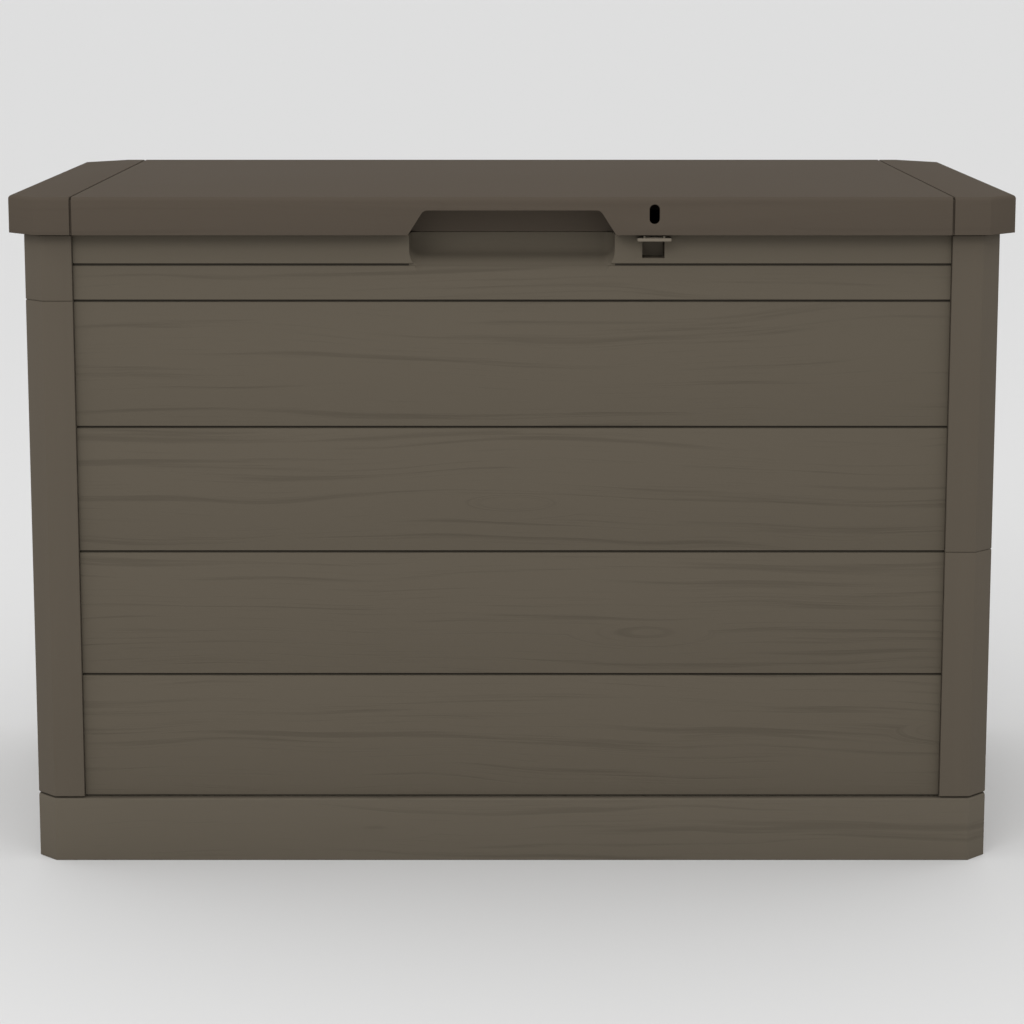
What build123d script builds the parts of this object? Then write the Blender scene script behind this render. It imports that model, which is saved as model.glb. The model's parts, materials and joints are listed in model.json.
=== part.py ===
"""Garden deck storage box of moulded resin: base tray, four plank walls held by corner posts, and a hinged lid.

Frame: +X to the right, +Y to the rear, +Z up. The origin is on the ground under the middle of the lid.
All sizes are in millimetres.
"""

import math
import os

from build123d import *

# ---------------------------------------------------------------- driving sizes: overall
lid_width = 775.0
lid_depth = 445.0
lid_top = 527.0
flange_height = 29.0
lid_gap = 1.0  # top of the walls to the lower edge of the lid
side_overhang = 11.0
front_overhang = 11.0
rear_overhang = 21.0
base_height = 52.0

# ---------------------------------------------------------------- driving sizes: walls and posts
skin = 2.5  # wall of every large moulding
rib = 2.0
rib_pitch_limit = 75.0
post_width = 38.5
post_thickness = 18.0
corner_chamfer = 15.0
panel_recess = 4.0  # the planks lie this far behind the faces of the posts
plank_rows = 4
rail_height = 51.0  # plain rail above the top plank, up to the top of the wall
rail_groove_drop = 23.0
groove_width = 2.0
groove_depth = 1.6
tongue_length = 8.0
tongue_thickness = 4.0
slot_clearance = 0.25
part_clearance = 0.3
seam_bevel = 0.7
spigot_height = 28.0
upstand_height = 11.0  # rain lip on top of the walls and posts, hidden by the lid
upstand_gap = 2.0  # rain lip to the grip walls under the lid

# ---------------------------------------------------------------- driving sizes: base tray
seam_gap = 1.2
seam_reach = 6.0
band_edge_radius = 1.5
lip_height = 8.0
lip_thickness = 2.5
floor_top = 17.0
rib_foot_gap = 1.0
well_radius = 5.0

# ---------------------------------------------------------------- driving sizes: grip and padlock staple
scoop_width = 158.0
scoop_height = 33.0  # top of the wall to the bottom of the scoop
scoop_depth = 26.0
scoop_radius = 10.0
notch_width = 159.0
notch_top_width = 135.0
notch_height = 18.9
notch_top_radius = 6.0
notch_foot_radius = 4.0
grip_gap = 1.0  # scoop to the grip walls under the lid, seen from above
lock_x = 108.7
window_width = 17.2
window_height = 18.0
window_depth = 24.0
staple_width = 26.0
staple_thickness = 2.4
staple_drop = 2.4  # lower edge of the lid to the top of the staple plate
staple_bar = 3.0
staple_web = 1.6
shackle_gap = 9.0
shackle_slot_width = 7.9
shackle_slot_height = 15.0
shackle_slot_rise = 16.0  # lower edge of the lid to the middle of the slot
clip_thickness = 6.0
clip_face = 1.2  # left in front of the blind screw hole

# ---------------------------------------------------------------- driving sizes: lid
front_corner = 23.0
rear_corner = 34.0
lid_edge_radius = 3.0
seam_x = 336.5  # joint between the lid's deck and its end caps
lid_seam_width = 1.8
joint_tongue = 12.0
joint_tongue_thickness = 2.2
lid_rib_height = 12.0
lid_rib_margin = 12.0
landing_width = 20.0
landing_gap = 0.4

# ---------------------------------------------------------------- driving sizes: hinges and screws
hinge_x = 218.0
hinge_axis_inset = 12.5  # rear face of the lid to the hinge axis
hinge_axis_rise = 1.0  # top of the walls to the hinge axis
pin_radius = 2.5
pin_clearance = 0.08
pin_head_radius = 4.2
pin_head_length = 2.0
knuckle_radius = 5.0
leaf_width = 34.0
bracket_width = 60.0
bracket_height = 36.0
hinge_plate = 3.0
hinge_side_gap = 0.5
ear_drop = 18.0  # hinge axis to the foot of the ear
leaf_length = 46.0
pad_thickness = 6.0
screw_radius = 2.0
screw_head_radius = 4.0
screw_head_height = 1.8
screw_bite = 5.0
screw_clearance = 0.1

# ---------------------------------------------------------------- places worked out from the sizes above
flange_bottom = lid_top - flange_height
ceiling = lid_top - skin
wall_top = flange_bottom - lid_gap
wall_height = wall_top - base_height
x_out = lid_width / 2 - side_overhang
y_front = -lid_depth / 2 + front_overhang
y_rear = lid_depth / 2 - rear_overhang
y_middle = (y_front + y_rear) / 2
body_width = 2 * x_out
body_depth = y_rear - y_front
panel_depth = post_thickness - panel_recess
inner_width = body_width - 2 * post_thickness
inner_depth = body_depth - 2 * post_thickness
well_width = inner_width - 2 * (part_clearance + lip_thickness)
well_depth = inner_depth - 2 * (part_clearance + lip_thickness)
front_span = body_width - 2 * post_width
side_span = body_depth - 2 * post_width
plank_pitch = (wall_height - rail_height) / plank_rows
plank_grooves = [base_height + plank_pitch * row for row in range(1, plank_rows + 1)]
groove_heights = plank_grooves + [wall_top - rail_groove_drop]
band_top = base_height - seam_gap
pocket_rows = 2 * plank_rows + 1
x_planks = x_out - panel_recess
y_planks = y_front + panel_recess
y_rear_planks = y_rear - panel_recess
hinge_y = lid_depth / 2 - hinge_axis_inset
hinge_z = wall_top + hinge_axis_rise
deck_end = seam_x - lid_seam_width / 2
cap_start = seam_x + lid_seam_width / 2
grip_back = y_planks + scoop_depth
grip_side = scoop_width / 2 + grip_gap
pad_bottom = ceiling - pad_thickness
leaf_end = hinge_y + hinge_plate / 2
leaf_start = leaf_end - leaf_length
over_all = 2 * (lid_width + lid_depth + lid_top)  # longer than anything it cuts


def cells(span):
    """How many rib cells a span takes, so that none is wider than the limit."""
    return math.ceil(span / rib_pitch_limit)


# ---------------------------------------------------------------- shapes that several pieces share
def body_outline(inset):
    """Plan of the body with its four cut corners, moved inwards by inset."""
    with BuildSketch() as outline:
        with Locations((0, y_middle)):
            Rectangle(body_width, body_depth)
        chamfer(outline.vertices(), length=corner_chamfer)
        if inset:
            offset(amount=-inset, kind=Kind.INTERSECTION)
    return outline.sketch


def post_outline():
    """Plan of a corner post: two legs along +X and +Y, with the outer corner at the origin cut off."""
    with BuildSketch() as outline:
        with BuildLine():
            Polyline(
                (corner_chamfer, 0),
                (post_width, 0),
                (post_width, post_thickness),
                (post_thickness, post_thickness),
                (post_thickness, post_width),
                (0, post_width),
                (0, corner_chamfer),
                close=True,
            )
        make_face()
    return outline.sketch


def post_cavity(shrink):
    """Plan of the hollow in a corner post, made smaller all round by shrink."""
    reach = post_width - tongue_length - slot_clearance - 2 * skin
    with BuildSketch() as cavity:
        add(post_outline())
        offset(amount=-skin - shrink, kind=Kind.INTERSECTION)
        with Locations((skin + reach / 2, skin + reach / 2)):
            Rectangle(reach - 2 * shrink, reach - 2 * shrink, mode=Mode.INTERSECT)
    return cavity.sketch


def at_corner(shape, right, rear):
    """A shape drawn for the front left corner, carried to the corner asked for."""
    placed = shape.moved(Location((-x_out, y_front, 0)))
    if right:
        placed = mirror(placed, about=Plane.YZ)
    if rear:
        placed = mirror(placed, about=Plane.XZ.offset(-y_middle))
    return placed


# ---------------------------------------------------------------- base tray
with BuildPart() as spigot:
    with BuildSketch(Plane.XY.offset(base_height)):
        add(post_cavity(part_clearance))
    extrude(amount=spigot_height)

corners = [(right, rear) for right in (False, True) for rear in (False, True)]
base_spigots = [at_corner(spigot.part, right, rear) for right, rear in corners]
band_outline = body_outline(0)
step_outline = body_outline(seam_reach)
channel_outline = body_outline(skin)

with BuildPart() as base_tray:
    with BuildSketch():
        add(band_outline)
    extrude(amount=band_top)
    fillet(base_tray.faces().sort_by(Axis.Z)[-1].edges(), radius=band_edge_radius)
    with BuildSketch(Plane.XY.offset(band_top)):
        add(step_outline)
    extrude(amount=seam_gap)
    with BuildSketch(Plane.XY.offset(base_height)):
        with Locations((0, y_middle)):
            Rectangle(inner_width - 2 * part_clearance, inner_depth - 2 * part_clearance)
    extrude(amount=lip_height)
    with BuildSketch(Plane.XY.offset(floor_top)):
        with Locations((0, y_middle)):
            RectangleRounded(well_width, well_depth, well_radius)
    extrude(amount=base_height, mode=Mode.SUBTRACT)
    with BuildSketch():
        add(channel_outline)
        with Locations((0, y_middle)):
            Rectangle(well_width + 2 * skin, well_depth + 2 * skin, mode=Mode.SUBTRACT)
    extrude(amount=base_height - skin, mode=Mode.SUBTRACT)
    with BuildSketch():
        with Locations((0, y_middle)):
            Rectangle(well_width, well_depth)
    extrude(amount=floor_top - skin, mode=Mode.SUBTRACT)
    floor_rib_height = floor_top - skin - rib_foot_gap
    floor_columns = cells(well_width)
    floor_rows = cells(well_depth)
    with Locations((0, y_middle, rib_foot_gap + floor_rib_height / 2)):
        with GridLocations(well_width / floor_columns, 1, floor_columns - 1, 1):
            Box(rib, well_depth, floor_rib_height)
        with GridLocations(1, well_depth / floor_rows, 1, floor_rows - 1):
            Box(well_width, rib, floor_rib_height)
    for base_spigot in base_spigots:
        add(base_spigot)


# ---------------------------------------------------------------- corner posts
def on_show(edge):
    """Whether an edge of a post's end lies on one of its three outer faces."""
    middle = edge.center()
    outer = (middle.X, middle.Y, middle.X + middle.Y - corner_chamfer)
    return min(abs(distance) for distance in outer) < seam_bevel / 10


def corner_post(bottom, top, is_upper):
    """One length of corner post. The upper one is closed on top and plugs into the lower one."""
    slot = tongue_thickness + 2 * slot_clearance
    slot_depth = tongue_length + slot_clearance
    slot_line = panel_recess + panel_depth / 2
    outline = post_outline()
    cavity = post_cavity(0)
    plug = post_cavity(part_clearance)
    cavity_top = top - skin if is_upper else top
    with BuildPart() as post:
        with BuildSketch(Plane.XY.offset(bottom)):
            add(outline)
            with Locations((post_width - slot_depth / 2, slot_line)):
                Rectangle(slot_depth, slot, mode=Mode.SUBTRACT)
            with Locations((slot_line, post_width - slot_depth / 2)):
                Rectangle(slot, slot_depth, mode=Mode.SUBTRACT)
        extrude(amount=top - bottom)
        ends = post.faces().filter_by(Plane.XY)
        chamfer([edge for end in ends for edge in end.edges() if on_show(edge)], length=seam_bevel)
        with BuildSketch(Plane.XY.offset(bottom)):
            add(cavity)
        extrude(amount=cavity_top - bottom, mode=Mode.SUBTRACT)
        if is_upper:
            with BuildSketch(Plane.XY.offset(top)):
                with Locations((post_thickness - skin, post_thickness - skin)):
                    leg = post_width - post_thickness + skin
                    Rectangle(leg, skin, align=(Align.MIN, Align.MIN))
                    Rectangle(skin, leg, align=(Align.MIN, Align.MIN))
            extrude(amount=upstand_height)
            with BuildSketch(Plane.XY.offset(bottom)):
                add(cavity)
            extrude(amount=skin)
            with BuildSketch(Plane.XY.offset(bottom - spigot_height)):
                add(plug)
            extrude(amount=spigot_height)
    return post.part


post_places = {
    "front_left": (plank_grooves[3], False, False),
    "front_right": (plank_grooves[1], True, False),
    "rear_left": (plank_grooves[1], False, True),
    "rear_right": (plank_grooves[3], True, True),
}
posts = {}
for place, (post_seam, right, rear) in post_places.items():
    posts[f"post_{place}_lower"] = at_corner(corner_post(base_height, post_seam, False), right, rear)
    posts[f"post_{place}_upper"] = at_corner(corner_post(post_seam, wall_top, True), right, rear)


# ---------------------------------------------------------------- walls
def plank_wall(span):
    """A wall with its planks' outer face on y = 0, rib cells behind them and a tongue at each end."""
    columns = cells(span)
    pitch = (span - 2 * part_clearance - rib) / columns
    row_pitch = (wall_height - rib) / pocket_rows
    with BuildPart() as wall:
        with BuildSketch(Plane.XY.offset(base_height)):
            with Locations((0, panel_depth / 2)):
                Rectangle(span - 2 * part_clearance, panel_depth)
                Rectangle(span + 2 * tongue_length, tongue_thickness)
        extrude(amount=wall_height)
        with BuildSketch(Plane.XZ.offset(-panel_depth)):
            with Locations((0, base_height + wall_height / 2)):
                with GridLocations(pitch, row_pitch, columns, pocket_rows):
                    Rectangle(pitch - rib, row_pitch - rib)
        extrude(amount=panel_depth - skin, mode=Mode.SUBTRACT)
        with Locations((0, panel_depth - skin / 2, wall_top + upstand_height / 2)):
            Box(span - 2 * part_clearance, skin, upstand_height)
        for height in groove_heights:
            with Locations((0, groove_depth / 2, height)):
                Box(span, groove_depth, groove_width, mode=Mode.SUBTRACT)
    return wall.part


long_wall = plank_wall(front_span)
short_wall = plank_wall(side_span)

scoop_foot = (y_planks, wall_top - scoop_height)
scoop_brow = (y_planks + scoop_depth, wall_top)
scoop_turn = (y_planks + scoop_depth / 2, wall_top - scoop_height / 2)  # where the ramp turns from convex to hollow
with BuildPart() as scoop:
    with BuildSketch(Plane.YZ.offset(-scoop_width / 2)):
        with BuildLine():
            TangentArc(scoop_brow, scoop_turn, tangent=(0, -1))
            TangentArc(scoop_foot, scoop_turn, tangent=(0, 1))
            Polyline(
                scoop_brow,
                (y_planks + scoop_depth, wall_top + scoop_height),
                (y_planks, wall_top + scoop_height),
                scoop_foot,
            )
        make_face()
    extrude(amount=scoop_width)
    side_edges = scoop.faces().filter_by(Axis.X).edges().filter_by(
        lambda edge: edge.center().Y > y_planks + skin and edge.center().Z < wall_top + scoop_height - skin
    )
    fillet(side_edges, radius=scoop_radius)

window_back = y_planks + window_depth
clip_back = window_back - part_clearance
clip_screw_z = wall_top - window_height / 2

with BuildPart() as front_panel:
    add(long_wall.moved(Location((0, y_planks, 0))))
    with Locations((0, y_planks + panel_depth / 2, wall_top + upstand_height / 2)):
        Box(2 * (grip_side + skin + upstand_gap), panel_depth, upstand_height, mode=Mode.SUBTRACT)
    with BuildSketch(Plane.XY.offset(wall_top - scoop_height - skin)):
        with Locations((0, y_planks + skin + scoop_depth / 2)):
            Rectangle(scoop_width + 2 * skin, scoop_depth)
    extrude(amount=scoop_height + skin)
    with BuildSketch(Plane.XY.offset(wall_top - window_height - skin)):
        with Locations((lock_x, y_planks + (window_depth + skin) / 2)):
            Rectangle(window_width + 2 * skin, window_depth + skin)
    extrude(amount=window_height + skin)
    add(scoop.part, mode=Mode.SUBTRACT)
    with BuildSketch(Plane.XY.offset(wall_top - window_height)):
        with Locations((lock_x, y_planks + window_depth / 2)):
            Rectangle(window_width, window_depth)
    extrude(amount=window_height + upstand_height, mode=Mode.SUBTRACT)
    with Locations(Location((lock_x, window_back, clip_screw_z), (90, 0, 0))):
        Cylinder(screw_radius + screw_clearance, 4 * skin, mode=Mode.SUBTRACT)


# ---------------------------------------------------------------- padlock staple, screwed into its window
staple_top = flange_bottom - staple_drop
staple_front = -lid_depth / 2 + part_clearance
staple_back = y_planks - part_clearance
clip_width = window_width - 2 * part_clearance
clip_bottom = wall_top - window_height + part_clearance
web_top = flange_bottom - 3 * part_clearance
web_front = -lid_depth / 2 + skin + part_clearance
with BuildPart() as padlock_staple:
    with BuildSketch(Plane.XY.offset(staple_top - staple_thickness)):
        with Locations((lock_x, (staple_front + staple_back) / 2)):
            RectangleRounded(staple_width, staple_back - staple_front, staple_thickness / 2)
    extrude(amount=staple_thickness)
    with BuildSketch(Plane.XY.offset(staple_top - staple_thickness)):
        with Locations((lock_x, (web_front + clip_back) / 2)):
            Rectangle(clip_width, clip_back - web_front)
    extrude(amount=web_top - staple_top + staple_thickness)
    with BuildSketch(Plane.XY.offset(clip_bottom)):
        with Locations((lock_x, clip_back - clip_thickness / 2)):
            Rectangle(clip_width, clip_thickness)
    extrude(amount=web_top - clip_bottom)
    with BuildSketch(Plane.XY.offset(staple_top)):
        with Locations((lock_x, (web_front + clip_back - clip_thickness) / 2)):
            Rectangle(clip_width - 2 * staple_web, clip_back - clip_thickness - web_front)
    extrude(amount=staple_drop, mode=Mode.SUBTRACT)
    with BuildSketch(Plane.XY.offset(staple_top - staple_thickness)):
        with Locations((lock_x, staple_front + staple_bar + shackle_gap / 2)):
            Rectangle(clip_width - 2 * staple_web, shackle_gap)
    extrude(amount=staple_thickness, mode=Mode.SUBTRACT)
    with Locations(Location((lock_x, clip_back, clip_screw_z), (90, 0, 0))):
        Cylinder(screw_radius + screw_clearance, 2 * (clip_thickness - clip_face), mode=Mode.SUBTRACT)


# ---------------------------------------------------------------- lid
with BuildPart() as lid_shell:
    with BuildSketch(Plane.XY.offset(flange_bottom)) as lid_outline:
        Rectangle(lid_width, lid_depth)
        chamfer(lid_outline.vertices().group_by(Axis.Y)[0], length=front_corner)
        chamfer(lid_outline.vertices().group_by(Axis.Y)[-1], length=rear_corner)
    extrude(amount=flange_height)
    fillet(lid_shell.faces().sort_by(Axis.Z)[-1].edges(), radius=lid_edge_radius)
    with BuildSketch(Plane.XY.offset(flange_bottom)):
        add(lid_outline.sketch_local)
        offset(amount=-skin, kind=Kind.INTERSECTION)
    extrude(amount=flange_height - skin, mode=Mode.SUBTRACT)

field_front = grip_back + skin + lid_rib_margin
field_rear = leaf_start - lid_rib_margin
field_depth = field_rear - field_front
field_width = 2 * (deck_end - joint_tongue - lid_rib_margin)
field_columns = cells(field_width)
field_rows = cells(field_depth)
lid_front_face = -lid_depth / 2


with BuildPart() as lid_deck:
    add(lid_shell.part)
    Box(2 * deck_end, over_all, over_all, mode=Mode.INTERSECT)
    with Locations((0, (field_front + field_rear) / 2, ceiling - lid_rib_height / 2)):
        with GridLocations(field_width / field_columns, 1, field_columns + 1, 1):
            Box(rib, field_depth, lid_rib_height)
        with GridLocations(1, field_depth / field_rows, 1, field_rows + 1):
            Box(field_width + rib, rib, lid_rib_height)
    with BuildSketch(Plane.XY.offset(wall_top + part_clearance)):
        with Locations((0, (lid_front_face + skin + grip_back + skin) / 2)):
            Rectangle(2 * (grip_side + skin), grip_back - lid_front_face)
        with Locations((0, (lid_front_face + grip_back) / 2)):
            Rectangle(2 * grip_side, grip_back - lid_front_face, mode=Mode.SUBTRACT)
    extrude(amount=ceiling - wall_top - part_clearance)
    for side in (-1, 1):
        with Locations((side * hinge_x, (leaf_start + leaf_end) / 2, ceiling - pad_thickness / 2)):
            Box(leaf_width, leaf_length, pad_thickness)
    with BuildSketch(Plane.XZ.offset(-lid_front_face)) as notch:
        with BuildLine():
            Polyline(
                (-notch_width, wall_top),
                (-notch_width, flange_bottom),
                (-notch_width / 2, flange_bottom),
                (-notch_top_width / 2, flange_bottom + notch_height),
                (notch_top_width / 2, flange_bottom + notch_height),
                (notch_width / 2, flange_bottom),
                (notch_width, flange_bottom),
                (notch_width, wall_top),
                close=True,
            )
        make_face()
        notch_corners = notch.vertices().group_by(Axis.Y)
        fillet(notch_corners[-1], radius=notch_top_radius)
        fillet(notch_corners[1].sort_by(Axis.X)[1:3], radius=notch_foot_radius)
        with Locations((lock_x, flange_bottom + shackle_slot_rise)):
            SlotOverall(shackle_slot_height, shackle_slot_width, rotation=90)
    extrude(amount=-skin, mode=Mode.SUBTRACT)
    for side in (-1, 1):
        with Locations((side * hinge_x, leaf_start + leaf_length / 2 - hinge_plate, pad_bottom)):
            with GridLocations(leaf_width / 2, leaf_length / 2, 2, 2):
                Cylinder(
                    screw_radius + screw_clearance,
                    screw_bite + screw_clearance,
                    align=(Align.CENTER, Align.CENTER, Align.MIN),
                    mode=Mode.SUBTRACT,
                )

landing_height = ceiling - wall_top - landing_gap
with BuildPart() as lid_cap_right:
    add(lid_shell.part)
    with Locations((cap_start + over_all / 2, 0, 0)):
        Box(over_all, over_all, over_all, mode=Mode.INTERSECT)
    with BuildSketch(Plane.YZ.offset(deck_end - joint_tongue)):
        with Locations((0, (flange_bottom + ceiling) / 2)):
            Rectangle(lid_depth - 2 * skin, ceiling - flange_bottom)
        with Locations((0, (flange_bottom + ceiling) / 2 - joint_tongue_thickness)):
            Rectangle(
                lid_depth - 2 * skin - 2 * joint_tongue_thickness,
                ceiling - flange_bottom,
                mode=Mode.SUBTRACT,
            )
    extrude(amount=lid_seam_width + 2 * joint_tongue)
    with Locations((x_out - post_width / 2, y_front + post_thickness / 2, ceiling - landing_height / 2)):
        Box(landing_width, rib, landing_height)

with BuildPart() as lid_cap_left:
    add(mirror(lid_cap_right.part, about=Plane.YZ))


# ---------------------------------------------------------------- hinges
ear_width = (bracket_width - leaf_width) / 2 - hinge_side_gap
bracket_screws_z = wall_top - bracket_height * 0.65
with BuildPart() as hinge_bracket:
    with Locations((0, y_rear_planks + hinge_plate / 2, wall_top - bracket_height / 2)):
        Box(bracket_width, hinge_plate, bracket_height)
    with BuildSketch(Plane.YZ.offset(-bracket_width / 2)) as ear_profile:
        with Locations((hinge_y, hinge_z)):
            Circle(knuckle_radius)
        with Locations((y_rear_planks + hinge_plate / 2, hinge_z - ear_drop / 2)):
            Rectangle(hinge_plate, ear_drop)
        make_hull()
    extrude(amount=ear_width)
    with BuildSketch(Plane.YZ.offset(bracket_width / 2 - ear_width)):
        add(ear_profile.sketch_local)
    extrude(amount=ear_width)
    with Locations(Location((0, hinge_y, hinge_z), (0, 90, 0))):
        Cylinder(pin_radius + pin_clearance, 2 * bracket_width, mode=Mode.SUBTRACT)
    with Locations(Location((0, y_rear_planks, bracket_screws_z), (90, 0, 0))):
        with GridLocations(bracket_width * 0.6, 1, 2, 1):
            Cylinder(screw_radius + screw_clearance, 4 * hinge_plate, mode=Mode.SUBTRACT)

leaf_bottom = pad_bottom - hinge_plate
arm_height = pad_bottom - hinge_z
with BuildPart() as hinge_leaf:
    with Locations((0, (leaf_start + leaf_end) / 2, pad_bottom - hinge_plate / 2)):
        Box(leaf_width, leaf_length, hinge_plate)
    with BuildSketch(Plane.YZ.offset(-leaf_width / 2)):
        with Locations((hinge_y, hinge_z)):
            Circle(knuckle_radius)
        with Locations((hinge_y, hinge_z + arm_height / 2)):
            Rectangle(hinge_plate, arm_height)
    extrude(amount=leaf_width)
    with Locations(Location((0, hinge_y, hinge_z), (0, 90, 0))):
        Cylinder(pin_radius + pin_clearance, 2 * leaf_width, mode=Mode.SUBTRACT)
    with Locations((0, leaf_start + leaf_length / 2 - hinge_plate, leaf_bottom)):
        with GridLocations(leaf_width / 2, leaf_length / 2, 2, 2):
            Cylinder(screw_radius + screw_clearance, 4 * hinge_plate, mode=Mode.SUBTRACT)

with BuildPart() as hinge_pin:
    with Locations(Location((0, hinge_y, hinge_z), (0, 90, 0))):
        Cylinder(pin_radius, bracket_width)
    with Locations(Location((-(bracket_width + pin_head_length) / 2, hinge_y, hinge_z), (0, 90, 0))):
        Cylinder(pin_head_radius, pin_head_length)


# ---------------------------------------------------------------- screws
def screw(length):
    """A pan head screw with its head's underside on z = 0 and its point along +Z."""
    with BuildPart() as body:
        Cylinder(screw_radius, length, align=(Align.CENTER, Align.CENTER, Align.MIN))
        Cylinder(screw_head_radius, screw_head_height, align=(Align.CENTER, Align.CENTER, Align.MAX))
        fillet(body.faces().sort_by(Axis.Z)[0].edges(), radius=screw_head_height / 2)
    return body.part


leaf_screw = screw(hinge_plate + screw_bite)
bracket_screw = screw(hinge_plate + skin + screw_bite)
clip_screw = screw(skin + clip_thickness - 2 * clip_face)
with BuildPart() as leaf_screws:
    for side in (-1, 1):
        with Locations((side * hinge_x, leaf_start + leaf_length / 2 - hinge_plate, leaf_bottom)):
            with GridLocations(leaf_width / 2, leaf_length / 2, 2, 2):
                add(leaf_screw)

with BuildPart() as bracket_screws:
    for side in (-1, 1):
        for end in (-1, 1):
            x_screw = side * hinge_x + end * bracket_width * 0.3
            with Locations(Location((x_screw, y_rear_planks + hinge_plate, bracket_screws_z), (90, 0, 0))):
                add(bracket_screw)

with BuildPart() as staple_screw:
    with Locations(Location((lock_x, window_back + skin, clip_screw_z), (90, 0, 0))):
        add(clip_screw)

# ---------------------------------------------------------------- rear and side walls, with holes for the hinge screws
with BuildPart() as rear_panel:
    add(long_wall.rotate(Axis.Z, 180).moved(Location((0, y_rear_planks, 0))))
    for side in (-1, 1):
        with Locations(Location((side * hinge_x, y_rear_planks, bracket_screws_z), (90, 0, 0))):
            with GridLocations(bracket_width * 0.6, 1, 2, 1):
                Cylinder(screw_radius + screw_clearance, 2 * panel_depth + 1, mode=Mode.SUBTRACT)

with BuildPart() as left_panel:
    add(short_wall.rotate(Axis.Z, -90).moved(Location((-x_planks, y_middle, 0))))

with BuildPart() as right_panel:
    add(short_wall.rotate(Axis.Z, 90).moved(Location((x_planks, y_middle, 0))))

# ---------------------------------------------------------------- export
pieces = {
    "base_tray": base_tray.part,
    "front_panel": front_panel.part,
    "rear_panel": rear_panel.part,
    "left_panel": left_panel.part,
    "right_panel": right_panel.part,
    "padlock_staple": padlock_staple.part,
    "staple_screw": staple_screw.part,
    "lid_deck": lid_deck.part,
    "lid_cap_left": lid_cap_left.part,
    "lid_cap_right": lid_cap_right.part,
    "leaf_screws": leaf_screws.part,
    "bracket_screws": bracket_screws.part,
}
pieces.update(posts)
for side_name, side in (("left", -1), ("right", 1)):
    place = Location((side * hinge_x, 0, 0))
    pieces[f"hinge_bracket_{side_name}"] = hinge_bracket.part.moved(place)
    pieces[f"hinge_leaf_{side_name}"] = hinge_leaf.part.moved(place)
    pieces[f"hinge_pin_{side_name}"] = hinge_pin.part.moved(place)

os.makedirs("parts", exist_ok=True)
for name, piece in pieces.items():
    piece.label = name
    export_step(piece, f"parts/{name}.step")
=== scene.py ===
"""Garden deck storage box: finishes, softened mouldings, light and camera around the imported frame.

Every object is in metres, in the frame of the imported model: +X right, +Y to the rear, +Z up.
"""

import json
import logging
import math
from dataclasses import dataclass
from enum import Enum

import bpy
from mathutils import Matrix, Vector


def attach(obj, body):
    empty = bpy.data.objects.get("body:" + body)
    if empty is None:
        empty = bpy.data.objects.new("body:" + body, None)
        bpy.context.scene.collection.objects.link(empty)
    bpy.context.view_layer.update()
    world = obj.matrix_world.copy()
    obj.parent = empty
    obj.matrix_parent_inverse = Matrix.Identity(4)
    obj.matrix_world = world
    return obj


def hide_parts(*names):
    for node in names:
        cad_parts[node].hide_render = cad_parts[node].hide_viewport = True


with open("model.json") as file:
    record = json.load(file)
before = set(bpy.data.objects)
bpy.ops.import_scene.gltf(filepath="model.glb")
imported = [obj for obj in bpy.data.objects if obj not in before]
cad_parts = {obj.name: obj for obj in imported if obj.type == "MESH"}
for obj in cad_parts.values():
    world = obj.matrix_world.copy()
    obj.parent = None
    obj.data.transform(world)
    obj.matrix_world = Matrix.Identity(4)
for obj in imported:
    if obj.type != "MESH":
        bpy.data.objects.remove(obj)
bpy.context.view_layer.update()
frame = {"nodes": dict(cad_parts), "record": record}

logging.basicConfig(level=logging.INFO, format="%(message)s")
log = logging.getLogger("deck_box")

MM = 0.001

Triple = tuple[float, float, float]
Colour = Triple

slots: dict[str, str] = {entry["node"]: entry["material_slot"] for entry in frame["record"]["subparts"]}


def linear(red: float, green: float, blue: float) -> Colour:
    """Turn a display colour on a 0 to 255 scale into a scene colour.

    Args:
        red, green, blue: The display colour's channels.

    Returns:
        The same colour in linear values from 0 to 1.
    """
    # The display standard's curve is straight near black and a power above that.
    shares = (red / 255, green / 255, blue / 255)
    return tuple(s / 12.92 if s <= 0.04045 else ((s + 0.055) / 1.055) ** 2.4 for s in shares)


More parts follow.
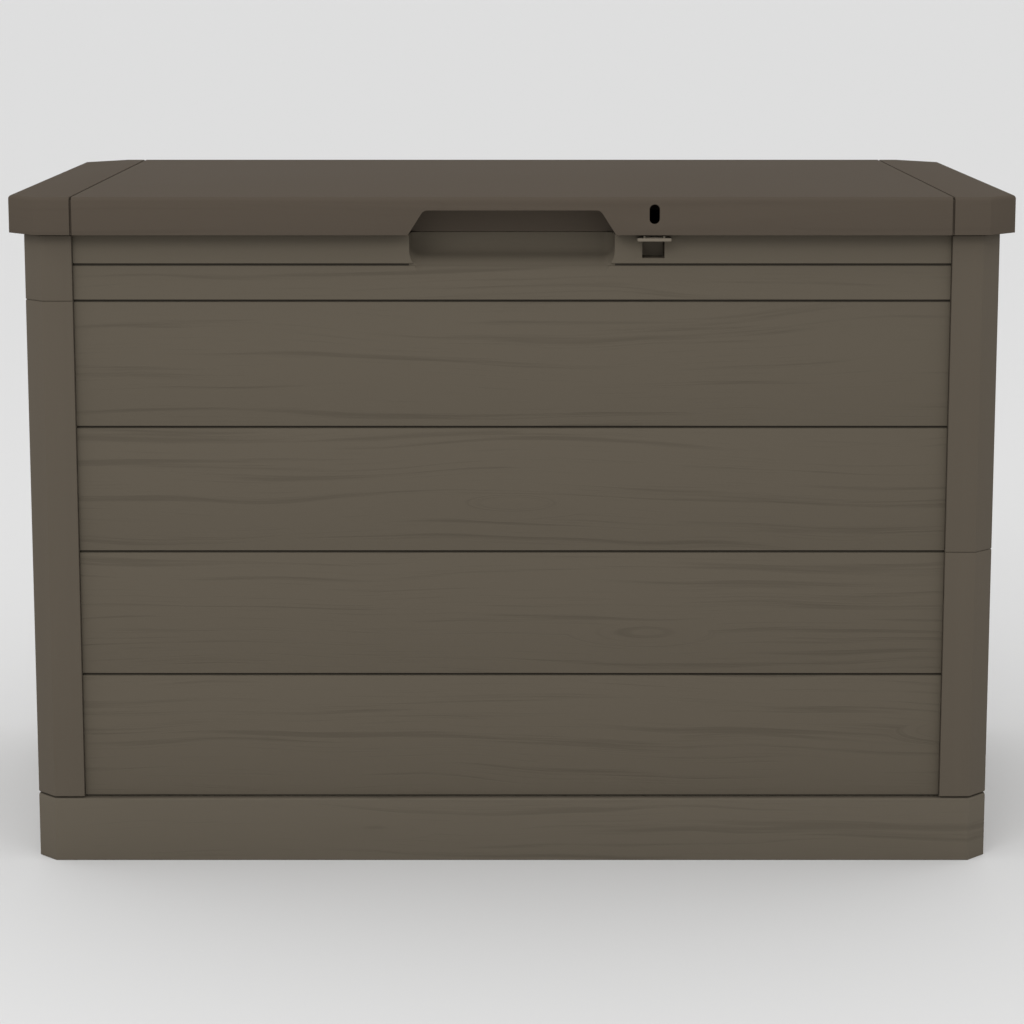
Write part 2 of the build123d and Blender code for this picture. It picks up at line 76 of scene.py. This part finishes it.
# ------------------------------------------------------------------ shader expressions
@dataclass(frozen=True)
class Value:
    """One output of a node, which arithmetic turns into further nodes."""

    graph: "Graph"
    socket: bpy.types.NodeSocket | None

    def _math(self, operation: str, first: "Number", second: "Number" = 0.0) -> "Value":
        """Add a Math node, whose second input counts only where its operation takes two."""
        return self.graph.node("ShaderNodeMath", {"operation": operation}, {0: first, 1: second})

    def __add__(self, other: "Number") -> "Value":
        """Return self + other."""
        return self._math("ADD", self, other)

    __radd__ = __add__

    def __sub__(self, other: "Number") -> "Value":
        """Return self - other."""
        return self._math("SUBTRACT", self, other)

    def __rsub__(self, other: "Number") -> "Value":
        """Return other - self."""
        return self._math("SUBTRACT", other, self)

    def __mul__(self, other: "Number") -> "Value":
        """Return self * other."""
        return self._math("MULTIPLY", self, other)

    __rmul__ = __mul__

    def __truediv__(self, other: "Number") -> "Value":
        """Return self / other."""
        return self._math("DIVIDE", self, other)

    def least(self, other: "Number") -> "Value":
        """Return the smaller of the two."""
        return self._math("MINIMUM", self, other)

    def most(self, other: "Number") -> "Value":
        """Return the larger of the two."""
        return self._math("MAXIMUM", self, other)

    def absolute(self) -> "Value":
        """Return the value without its sign."""
        return self._math("ABSOLUTE", self)

    def sine(self) -> "Value":
        """Return the sine of the value in radians."""
        return self._math("SINE", self)

    def floor(self) -> "Value":
        """Return the whole number at or below the value."""
        return self._math("FLOOR", self)

    def nearest(self) -> "Value":
        """Return the nearest whole number."""
        return self._math("ROUND", self)

    def ramp(self, low: float, high: float, start: float = 0.0, end: float = 1.0) -> "Value":
        """Map low..high smoothly to start..end, and hold beyond.

        Args:
            low, high: The range read, low before high.
            start, end: What the two ends of that range become.

        Returns:
            The mapped value.
        """
        return self.graph.node(
            "ShaderNodeMapRange",
            {"interpolation_type": "SMOOTHSTEP", "clamp": True},
            {"Value": self, "From Min": low, "From Max": high, "To Min": start, "To Max": end},
            output="Result",
        )


Number = Value | float | int


class Graph:
    """The node tree of one material."""

    def __init__(self, name: str) -> None:
        """Start a material with an empty tree.

        Args:
            name: The material's name.
        """
        self.material = bpy.data.materials.new(name)
        self.material.use_nodes = True
        self.tree = self.material.node_tree
        self.tree.nodes.clear()

    def node(
        self,
        kind: str,
        settings: dict[str, object] | None = None,
        inputs: dict[int | str, object] | None = None,
        output: int | str = 0,
    ) -> Value:
        """Add one node.

        Args:
            kind: The node's type.
            settings: The properties to set first.
            inputs: What each socket gets: a number, a colour, a vector or a Value.
            output: The output that the returned value stands for.

        Returns:
            The chosen output.
        """
        made = self.tree.nodes.new(kind)
        for key, setting in (settings or {}).items():
            setattr(made, key, setting)
        for key, given in (inputs or {}).items():
            if isinstance(given, Value):
                self.tree.links.new(given.socket, made.inputs[key])
            else:
                made.inputs[key].default_value = given
        return Value(self, made.outputs[output] if made.outputs else None)

    def place(self, scale: Triple = (1.0, 1.0, 1.0)) -> Value:
        """Object coordinates in metres, stretched per axis.

        Args:
            scale: The factor for each axis.

        Returns:
            The vector.
        """
        coordinates = self.node("ShaderNodeTexCoord", output="Object")
        inputs = {"Vector": coordinates, "Scale": scale}
        return self.node("ShaderNodeMapping", {"vector_type": "POINT"}, inputs)

    def point(self, east: Value, north: Value, up: Value) -> Value:
        """Join three values into one vector."""
        return self.node("ShaderNodeCombineXYZ", None, {"X": east, "Y": north, "Z": up})

    def axis(self, name: str) -> Value:
        """One Object coordinate in metres, named X, Y or Z."""
        coordinates = self.node("ShaderNodeTexCoord", output="Object")
        return self.node("ShaderNodeSeparateXYZ", None, {"Vector": coordinates}, output=name)

    def noise(self, vector: Value, scale: float, detail: float, rough: float = 0.5) -> Value:
        """Add a noise pattern with values around 0.5.

        Args:
            vector: Where the pattern is read.
            scale: How fine it is.
            detail: How many finer layers it has.
            rough: The strength of the finer layers.

        Returns:
            The pattern's value.
        """
        inputs = {"Vector": vector, "Scale": scale, "Detail": detail, "Roughness": rough}
        return self.node("ShaderNodeTexNoise", None, inputs, output="Fac")

    def mix(self, factor: Number, first: object, second: object) -> Value:
        """Blend two colours."""
        return self.node(
            "ShaderNodeMix",
            {"data_type": "RGBA", "clamp_factor": True},
            {0: factor, 6: first, 7: second},
            output=2,
        )

    def bump(self, height: Value, depth: float, strength: float = 1.0, normal: Value | None = None) -> Value:
        """Turn a height into a normal.

        Args:
            height: The pattern, as a share of the depth.
            depth: The relief in metres.
            strength: The share of the relief that shows.
            normal: The normal that this relief adds to.

        Returns:
            The normal.
        """
        inputs: dict[int | str, object] = {"Height": height, "Distance": depth, "Strength": strength}
        if normal:
            inputs["Normal"] = normal
        return self.node("ShaderNodeBump", None, inputs)

    def finish(
        self, colour: object, roughness: Number, normal: Value | None, **fixed: float
    ) -> bpy.types.Material:
        """Add the surface shader and close the tree.

        Args:
            colour: The base colour.
            roughness: The roughness.
            normal: The surface's normal, if it has relief.
            fixed: Sockets that get one plain number, with underscores for spaces.

        Returns:
            The material.
        """
        inputs: dict[int | str, object] = {"Base Color": colour, "Roughness": roughness}
        inputs.update({key.replace("_", " "): number for key, number in fixed.items()})
        if normal:
            inputs["Normal"] = normal
        surface = self.node("ShaderNodeBsdfPrincipled", None, inputs)
        self.node("ShaderNodeOutputMaterial", None, {"Surface": surface})
        return self.material


# ------------------------------------------------------------------ finishes
class Slot(Enum):
    """The record's material slots."""

    WALL = "wall_resin"
    POST = "post_resin"
    BASE = "base_resin"
    LID = "lid_resin"
    HINGE = "hinge_resin"
    STAPLE = "staple_resin"
    PIN = "pin_steel"
    SCREW = "screw_steel"


def shade(colour: Colour, factor: float) -> tuple[float, float, float, float]:
    """A colour made lighter or darker, with full cover."""
    return (colour[0] * factor, colour[1] * factor, colour[2] * factor, 1.0)


@dataclass(frozen=True)
class Grain:
    """The patterns that make up a wood grain."""

    lines: Value  # the raw lines, around 0.5
    cut: Value  # 1 in the broad lines and 0 between them
    pore: Value  # 1 in the fine lines and 0 between them
    knot: Value  # 1 in the middle of a knot and 0 outside it


@dataclass(frozen=True)
class GrainedResin:
    """Resin with a wood grain moulded into its upright faces.

    The grain is level lines that wander slowly, bunch together and part round one knot in each board.
    """

    slot: Slot
    colour: Colour

    # Surface
    relief: float = 0.30 * MM
    contrast: float = 1.0
    roughness: float = 0.74
    shine: float = 0.10
    mottle: float = 0.20
    mottle_scale: float = 5.0
    darkest: float = 0.84
    lightest: float = 1.10
    tone_range: tuple[float, float] = (-0.6, 1.1)
    tone_lift: float = 0.14
    rough_swing: float = 0.10
    tooth_scale: float = 1500.0
    tooth_depth: float = 0.02 * MM
    tooth_strength: float = 0.5

    # Boards
    board_bottom: float = 52 * MM
    board_pitch: float = 98.5 * MM
    board_shift: tuple[float, float] = (3.71, 1.37)  # moves the pattern from one board to the next
    smooth_above: float = 1.0  # the height where the grain ends
    smooth_blend: float = 1.5 * MM

    # Lines, with each stretch in pattern units per metre along the board, and the rise per metre of height
    line_pitch: float = 6.0 * MM
    line_stretch: float = 3.4
    line_edge: tuple[float, float] = (0.53, 0.70)
    line_dark: float = 0.72
    fibre_pitch: float = 1.5 * MM
    fibre_stretch: float = 11.0
    fibre_edge: tuple[float, float] = (0.58, 0.75)
    fibre_dark: float = 0.24
    wander: float = 50 * MM
    wander_stretch: float = 2.4
    wander_rise: float = 7.0
    line_relief: float = 0.60
    slope_relief: float = 0.15
    fibre_relief: float = 0.15

    # Knots
    knot_length: float = 60 * MM
    knot_height: float = 11 * MM
    knot_bend: float = 14 * MM
    knot_dark: float = 0.10
    knot_side_share: float = 0.7  # how much a step along a side wall counts beside one along the front
    knot_reach: float = 270 * MM  # how far a knot may lie from the middle of its wall
    knot_reach_turn: tuple[float, float] = (2.4, 0.9)  # radians from board to board, and at the first
    knot_lift: float = 0.22  # how far it may lie above or below its board's middle, in boards
    knot_lift_turn: float = 5.1

    # Painted shade in the grooves between the boards
    seam_width: float = 2.0 * MM
    seam_core: float = 0.30  # the middle of the painted shade, at full darkness, as a share of the width to each side
    seam_edge: float = 0.50  # where the painted shade ends, likewise
    groove_shade_tone: float = 1.0  # painted shade: the groove's colour as a share of the board's, so that 1 leaves it alone
    rail_seam: float = 474 * MM
    scoop_side: float = 79 * MM
    scoop_blend: float = 0.3 * MM
    front_limit: tuple[float, float] = (-150 * MM, -149 * MM)  # the scoop counts only in front of this

    def knot(self, graph: Graph, board: Value) -> Value:
        """Build one long oval mound per board, 1 in its middle and 0 outside.

        Args:
            graph: The material's graph.
            board: The number of the board that the point lies on.

        Returns:
            The mound's height.
        """
        step, start = self.knot_reach_turn
        aside = (board * step + start).sine() * self.knot_reach
        along = graph.axis("X") + graph.axis("Y") * self.knot_side_share
        east = (along - aside) / self.knot_length
        lift = (board * self.knot_lift_turn).sine() * self.knot_lift
        middle = self.board_bottom + (board + 0.5 + lift) * self.board_pitch
        north = (graph.axis("Z") - middle) / self.knot_height
        return (1.0 - (east * east + north * north)).most(0.0)

    def grain(self, graph: Graph, board: Value) -> Grain:
        """Build the lines that wander along a board and part round its knot.

        Args:
            graph: The material's graph.
            board: The number of the board that the point lies on.

        Returns:
            The grain's patterns.
        """
        height = graph.axis("Z")
        shift_east, shift_north = self.board_shift
        east = graph.axis("X") + board * shift_east
        north = graph.axis("Y") + board * shift_north
        knot = self.knot(graph, board)
        slow_east, slow_north = east * self.wander_stretch, north * self.wander_stretch
        slow = graph.point(slow_east, slow_north, height * self.wander_rise)
        drift = graph.noise(slow, 1.0, detail=2.0) - 0.5
        bent = height + drift * self.wander + knot * self.knot_bend
        line_east, line_north = east * self.line_stretch, north * self.line_stretch
        lines_at = graph.point(line_east, line_north, bent / self.line_pitch)
        lines = graph.noise(lines_at, 1.0, detail=3.0, rough=0.55)
        fibre_east, fibre_north = east * self.fibre_stretch, north * self.fibre_stretch
        fibres_at = graph.point(fibre_east, fibre_north, bent / self.fibre_pitch)
        fibres = graph.noise(fibres_at, 1.0, detail=2.0)
        return Grain(lines, lines.ramp(*self.line_edge), fibres.ramp(*self.fibre_edge), knot)

    def in_scoop(self, graph: Graph) -> Value:
        """Return 1 between the sides of the finger scoop, where the rail has no groove, and 0 elsewhere."""
        blended = self.scoop_side + self.scoop_blend
        across = graph.axis("X").absolute().ramp(self.scoop_side, blended, 1.0, 0.0)
        front = graph.axis("Y").ramp(*self.front_limit, 1.0, 0.0)
        return across * front

    def in_groove(self, graph: Graph, level: Value) -> Value:
        """Return 1 inside a groove between boards or under the rail, where shade is painted, and 0
        elsewhere.

        Args:
            graph: The material's graph.
            level: The height in boards, so that each groove lies at a whole number.

        Returns:
            The share of the painted groove shade.
        """
        edge = (level - level.nearest()).absolute() * self.board_pitch
        rail = (graph.axis("Z") - self.rail_seam).absolute() + self.in_scoop(graph)
        core, outer = self.seam_core * self.seam_width, self.seam_edge * self.seam_width
        return edge.least(rail).ramp(core, outer, 1.0, 0.0)

    def build(self) -> bpy.types.Material:
        """Build the material."""
        graph = Graph(self.slot.value)
        height = graph.axis("Z")
        level = (height - self.board_bottom) / self.board_pitch
        grain = self.grain(graph, level.floor())
        grained = height.ramp(self.smooth_above - self.smooth_blend, self.smooth_above, 1.0, 0.0)
        high = self.line_relief * (1.0 - grain.cut) + self.slope_relief * grain.lines
        relief = (high + self.fibre_relief * (1.0 - grain.pore)) * grained
        cloud = graph.noise(graph.place(), self.mottle_scale, detail=4.0, rough=0.55) - 0.5
        knot_shade = self.knot_dark * grain.knot * grain.knot
        dark = (self.line_dark * grain.cut + self.fibre_dark * grain.pore + knot_shade) * grained
        tone = 0.5 + self.mottle * cloud + (self.tone_lift - dark) * self.contrast
        darkest, lightest = shade(self.colour, self.darkest), shade(self.colour, self.lightest)
        wood = graph.mix(tone.ramp(*self.tone_range), darkest, lightest)
        # Painted shade: the grooves are darkened towards black, down to groove_shade_tone of the board's
        # colour
        groove = self.in_groove(graph, level) * (1.0 - self.groove_shade_tone)
        colour = graph.mix(groove, wood, shade(self.colour, 0.0))
        rough = self.roughness + self.rough_swing * dark + self.rough_swing * cloud
        tooth = graph.noise(graph.place(), self.tooth_scale, detail=1.0)
        skin = graph.bump(tooth, self.tooth_depth, self.tooth_strength)
        normal = graph.bump(relief, self.relief, self.contrast, skin)
        return graph.finish(colour, rough, normal, Specular_IOR_Level=self.shine)


@dataclass(frozen=True)
class SmoothResin:
    """Resin from a polished mould, with faint streaks along one axis and a fine tooth."""

    slot: Slot
    colour: Colour
    stretch: Triple = (70.0, 70.0, 1.5)
    relief: float = 0.05 * MM
    relief_strength: float = 0.6
    streak: float = 0.5
    mottle: float = 0.3
    mottle_scale: float = 6.0
    darkest: float = 0.92
    lightest: float = 1.08
    tone_range: tuple[float, float] = (-0.2, 1.2)
    roughness: float = 0.70
    rough_swing: float = 0.08
    shine: float = 0.10
    tooth_scale: float = 1400.0
    tooth_depth: float = 0.018 * MM
    tooth_strength: float = 0.5

    def build(self) -> bpy.types.Material:
        """Build the material."""
        graph = Graph(self.slot.value)
        streaks = graph.noise(graph.place(self.stretch), 1.0, detail=5.0, rough=0.6)
        cloud = graph.noise(graph.place(), self.mottle_scale, detail=4.0, rough=0.55) - 0.5
        swing = streaks - 0.5
        tone = 0.5 + swing * self.streak + cloud * self.mottle
        darkest, lightest = shade(self.colour, self.darkest), shade(self.colour, self.lightest)
        colour = graph.mix(tone.ramp(*self.tone_range), darkest, lightest)
        rough = self.roughness + self.rough_swing * cloud + self.rough_swing * swing
        tooth = graph.noise(graph.place(), self.tooth_scale, detail=1.0)
        skin = graph.bump(tooth, self.tooth_depth, self.tooth_strength)
        normal = graph.bump(streaks, self.relief, self.relief_strength, skin)
        return graph.finish(colour, rough, normal, Specular_IOR_Level=self.shine)


@dataclass(frozen=True)
class PlatedSteel:
    """Zinc-plated steel with fine turning marks."""

    slot: Slot
    colour: Colour
    roughness: float = 0.34
    stain_scale: float = 90.0
    stain_edge: tuple[float, float] = (0.3, 0.8)
    stain_tone: float = 0.72
    stain_rough: float = 0.25
    marks_stretch: Triple = (2600.0, 300.0, 300.0)
    marks_rough: float = 0.1
    marks_depth: float = 0.01 * MM
    marks_strength: float = 0.5

    def build(self) -> bpy.types.Material:
        """Build the material."""
        graph = Graph(self.slot.value)
        marks = graph.noise(graph.place(self.marks_stretch), 1.0, detail=2.0)
        stain = graph.noise(graph.place(), self.stain_scale, detail=3.0)
        clean, stained = shade(self.colour, 1.0), shade(self.colour, self.stain_tone)
        colour = graph.mix(stain.ramp(*self.stain_edge), clean, stained)
        rough = self.roughness + self.stain_rough * (stain - 0.5) + self.marks_rough * (marks - 0.5)
        normal = graph.bump(marks, self.marks_depth, self.marks_strength)
        return graph.finish(colour, rough, normal, Metallic=1.0)


# ------------------------------------------------------------------ mesh work
def deselect_all() -> None:
    """Leave nothing selected and no object active."""
    bpy.ops.object.select_all(action="DESELECT")
    bpy.context.view_layer.objects.active = None


def make_active(piece: bpy.types.Object) -> None:
    """Select one object alone and make it the active one."""
    deselect_all()
    piece.select_set(True)
    bpy.context.view_layer.objects.active = piece


def dress(piece: bpy.types.Object, material: bpy.types.Material) -> None:
    """Give every face of a piece one material."""
    piece.data.materials.clear()
    piece.data.materials.append(material)


@dataclass
class SoftMoulding:
    """A CAD node's shape with the small radius that a mould leaves on its edges."""

    node: str
    body: str
    radius: float = 0.3 * MM
    segments: int = 2
    sharp: float = math.radians(28)
    merge_distance: float = 0.002 * MM
    flat_angle: float = math.radians(0.4)

    def build(self, material: bpy.types.Material) -> None:
        """Copy the node, merge and clean the copy, round its edges and let it stand for the node.

        Args:
            material: The piece's finish.
        """
        source = frame["nodes"][self.node]
        piece = bpy.data.objects.new(f"{self.node}_moulding", source.data.copy())
        bpy.context.scene.collection.objects.link(piece)
        make_active(piece)
        bpy.ops.object.mode_set(mode="EDIT")
        bpy.ops.mesh.select_all(action="SELECT")
        bpy.ops.mesh.remove_doubles(threshold=self.merge_distance)
        bpy.ops.mesh.dissolve_limited(angle_limit=self.flat_angle)
        bpy.ops.object.mode_set(mode="OBJECT")
        bevel = piece.modifiers.new("edge_radius", "BEVEL")
        bevel.width = self.radius
        bevel.segments = self.segments
        bevel.limit_method = "ANGLE"
        bevel.angle_limit = self.sharp
        bevel.use_clamp_overlap = True
        bevel.harden_normals = False
        bpy.ops.object.modifier_apply(modifier=bevel.name)
        bpy.ops.object.shade_smooth_by_angle(angle=self.sharp)
        dress(piece, material)
        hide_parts(self.node)
        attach(piece, self.body)
        log.info("%s: %d faces", piece.name, len(piece.data.polygons))


# ------------------------------------------------------------------ studio
@dataclass(frozen=True)
class Lamp:
    """One soft rectangular light."""

    name: str
    place: Triple
    target: Triple
    size: tuple[float, float]
    power: float

    def build(self) -> None:
        """Put the light in the scene."""
        data = bpy.data.lights.new(self.name, "AREA")
        data.shape = "RECTANGLE"
        data.size, data.size_y = self.size
        data.energy = self.power
        lamp = bpy.data.objects.new(self.name, data)
        bpy.context.scene.collection.objects.link(lamp)
        lamp.location = self.place
        lamp.rotation_euler = (Vector(self.target) - Vector(self.place)).to_track_quat("-Z", "Y").to_euler()


LAMPS = (
    Lamp("key_light", place=(-0.8, -2.7, 2.0), target=(0, 0, 0.25), size=(2.2, 1.0), power=22.0),
    Lamp("top_light", place=(0.0, 0.3, 3.0), target=(0, 0, 0.3), size=(3.0, 2.0), power=1.0),
)


@dataclass(frozen=True)
class Studio:
    """A pale floor, soft light all round and the camera."""

    camera_place: Triple = (0.0, -2.3286, 0.6911)
    camera_pitch: float = 8.84
    lens: float = 97.37
    sensor_width: float = 36.0
    shift: float = -0.10
    view_reach: float = 1000.0
    floor_size: float = 600.0
    floor_tone: float = 0.72
    floor_roughness: float = 0.9
    floor_shine: float = 0.1
    sky_tone: float = 1.0
    sky_strength: float = 1.0

    def build_floor(self) -> None:
        """Lay a large plain floor under the box, at height zero."""
        deselect_all()
        bpy.ops.mesh.primitive_plane_add(size=self.floor_size, location=(0, 0, 0))
        floor = bpy.context.active_object
        floor.name = "floor"
        graph = Graph("pale_floor")
        tone = (self.floor_tone, self.floor_tone, self.floor_tone, 1.0)
        dress(floor, graph.finish(tone, self.floor_roughness, None, Specular_IOR_Level=self.floor_shine))

    def build_sky(self) -> None:
        """Fill the surroundings with an even pale light."""
        world = bpy.data.worlds.new("studio_sky")
        world.use_nodes = True
        background = world.node_tree.nodes["Background"]
        background.inputs["Color"].default_value = (self.sky_tone, self.sky_tone, self.sky_tone, 1.0)
        background.inputs["Strength"].default_value = self.sky_strength
        bpy.context.scene.world = world

    def build_camera(self) -> None:
        """Stand the camera in front of the box, a little above the lid."""
        data = bpy.data.cameras.new("camera")
        data.lens = self.lens
        data.sensor_width = self.sensor_width
        data.shift_y = self.shift
        data.clip_end = self.view_reach
        camera = bpy.data.objects.new("camera", data)
        bpy.context.scene.collection.objects.link(camera)
        camera.location = self.camera_place
        camera.rotation_euler = (math.radians(90 - self.camera_pitch), 0, 0)
        bpy.context.scene.camera = camera

    def build(self) -> None:
        """Set up floor, light and camera."""
        self.build_floor()
        self.build_sky()
        for lamp in LAMPS:
            lamp.build()
        bpy.context.scene.view_settings.view_transform = "Standard"
        self.build_camera()
        log.info("studio is set")


FINISHES = (
    # The walls' grooves get painted shade, at 0.28 of the board's colour
    GrainedResin(Slot.WALL, linear(89, 82, 71), smooth_above=474 * MM, groove_shade_tone=0.28),
    SmoothResin(Slot.POST, linear(88, 80.5, 70)),
    GrainedResin(Slot.BASE, linear(93, 86, 75), relief=0.25 * MM, contrast=0.9),
    GrainedResin(
        Slot.LID,
        linear(81, 73, 64),
        relief=0.10 * MM,
        contrast=0.35,
        mottle=0.04,
        smooth_above=525 * MM,
        shine=0.02,
        roughness=0.85,
    ),
    SmoothResin(Slot.HINGE, linear(80, 73, 64)),
    # Painted highlight: the staple is the walls' resin, given a lighter colour because it stands out of the
    # lid's shadow into the light
    SmoothResin(Slot.STAPLE, linear(112, 104, 92)),
    PlatedSteel(Slot.PIN, (0.55, 0.55, 0.54)),
    PlatedSteel(Slot.SCREW, (0.50, 0.50, 0.49)),
)
STEEL_SLOTS = (Slot.PIN.value, Slot.SCREW.value)


def main() -> None:
    """Build the box's pieces in order, then the studio."""
    materials = {finish.slot.value: finish.build() for finish in FINISHES}
    for body, members in frame["record"]["behaviour"]["bodies"].items():
        for node in members:
            material = materials[slots[node]]
            if slots[node] in STEEL_SLOTS:
                dress(frame["nodes"][node], material)
            else:
                SoftMoulding(node, body).build(material)
    Studio().build()


if __name__ == "__main__":
    main()
